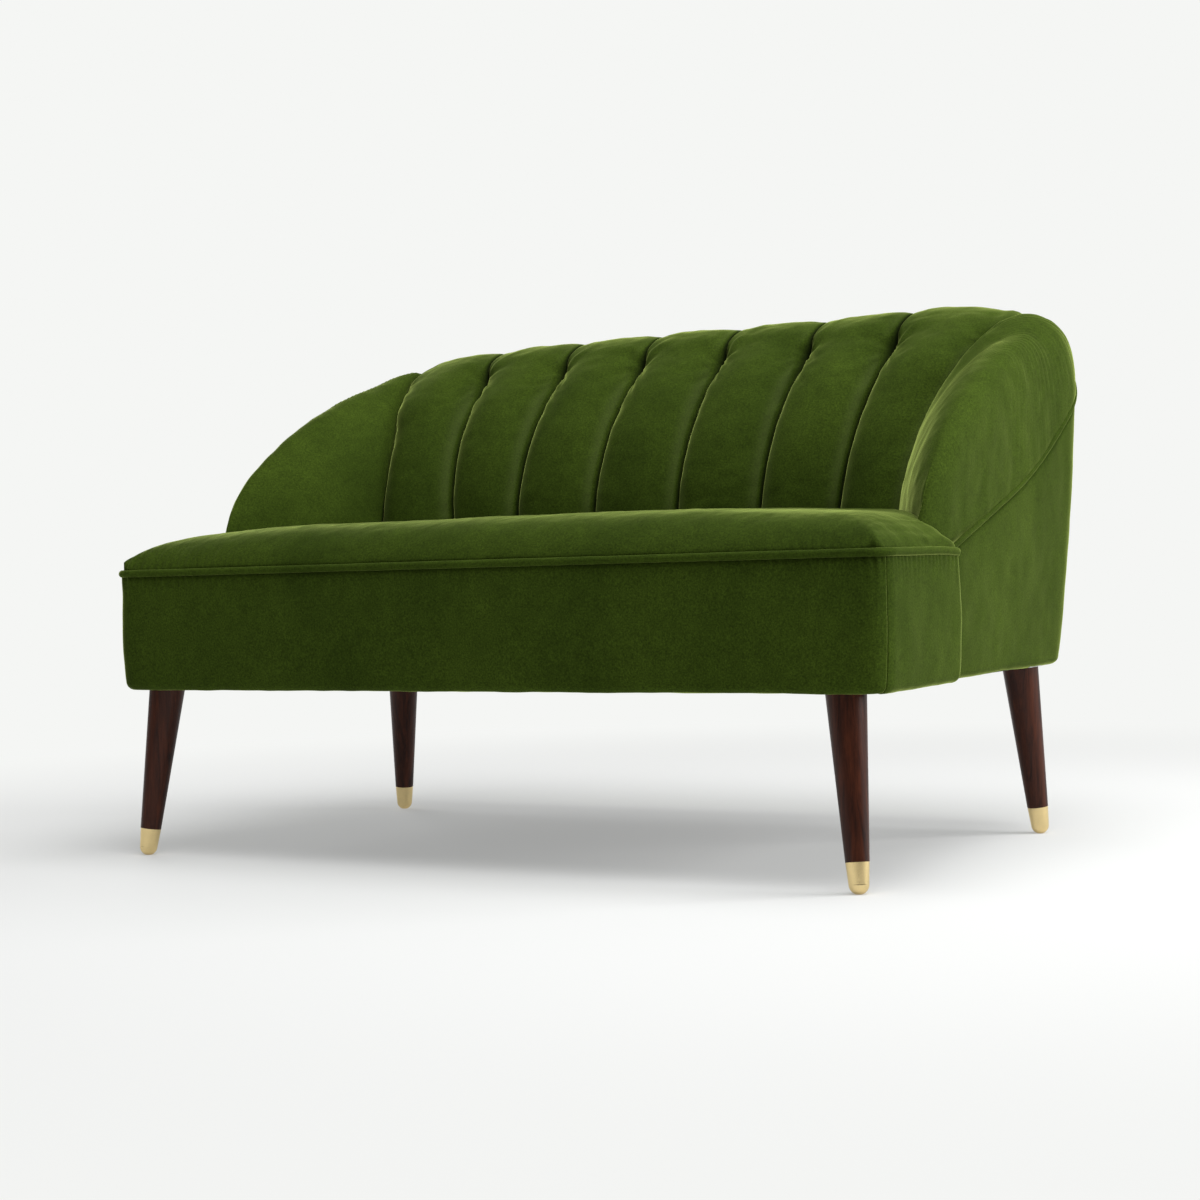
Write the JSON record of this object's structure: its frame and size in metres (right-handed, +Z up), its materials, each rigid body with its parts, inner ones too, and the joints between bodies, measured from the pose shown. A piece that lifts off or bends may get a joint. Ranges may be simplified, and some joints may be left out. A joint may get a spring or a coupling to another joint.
{
  "type": "two-seat sofa",
  "caption": "Two-seat sofa with a channelled back that rolls over into curved wings, a piped T-shaped seat and splayed legs with brass caps.",
  "frame": {"origin": "centre of the sofa's bounding box on the floor", "axes": "+X runs across the sofa to the right as seen from in front, +Y from front to back, +Z up"},
  "size_m": [1.283, 0.8378, 0.8015],
  "materials": {
    "velvet": "soft velvet with a short upright pile and a strong sheen",
    "walnut": "dark stained hardwood, semi-gloss lacquer",
    "brass": "satin",
    "timber": "planed, unfinished",
    "plywood": "sanded, unfinished",
    "zinc_steel": "bright zinc plate",
    "foam": "open-cell foam",
    "felt": "needled felt",
    "webbing": "woven jute",
    "card": "plain",
    "dust_cloth": "spun-bonded cloth"
  },
  "bodies": {
    "root": {"front_rail": "timber", "rear_rail": "timber", "spring_rail": "timber", "side_rail_left": "timber", "side_rail_right": "timber", "corner_rail_left": "timber", "corner_rail_right": "timber", "centre_rail": "timber", "leg_blocks": "timber", "rear_post_left": "timber", "rear_post_right": "timber", "arm_panel_left": "plywood", "arm_panel_right": "plywood", "back_rib_1": "plywood", "back_rib_2": "plywood", "back_rib_3": "plywood", "back_rib_4": "plywood", "top_rail": "timber", "lumbar_rail": "timber", "leg_plates": "zinc_steel", "plate_screws": "zinc_steel", "hanger_bolts": "zinc_steel", "leg_front_left": "walnut", "leg_front_right": "walnut", "leg_rear_left": "walnut", "leg_rear_right": "walnut", "cap_front_left": "brass", "cap_front_right": "brass", "cap_rear_left": "brass", "cap_rear_right": "brass", "seat_springs": "zinc_steel", "spring_clips": "zinc_steel", "tie_wires": "zinc_steel", "back_webbing": "webbing", "seat_insulator": "felt", "seat_foam": "foam", "seat_cover": "velvet", "front_border": "velvet", "side_border_left": "velvet", "side_border_right": "velvet", "seat_piping": "velvet", "back_channel_1": "velvet", "back_channel_2": "velvet", "back_channel_3": "velvet", "back_channel_4": "velvet", "back_channel_5": "velvet", "back_channel_6": "velvet", "back_channel_7": "velvet", "wing_pad_left": "velvet", "wing_pad_right": "velvet", "shell_piping": "velvet", "outside_arm_left": "velvet", "outside_arm_right": "velvet", "outside_back": "velvet", "tack_strip": "card", "dust_cover": "dust_cloth"}
  },
  "joints": []
}
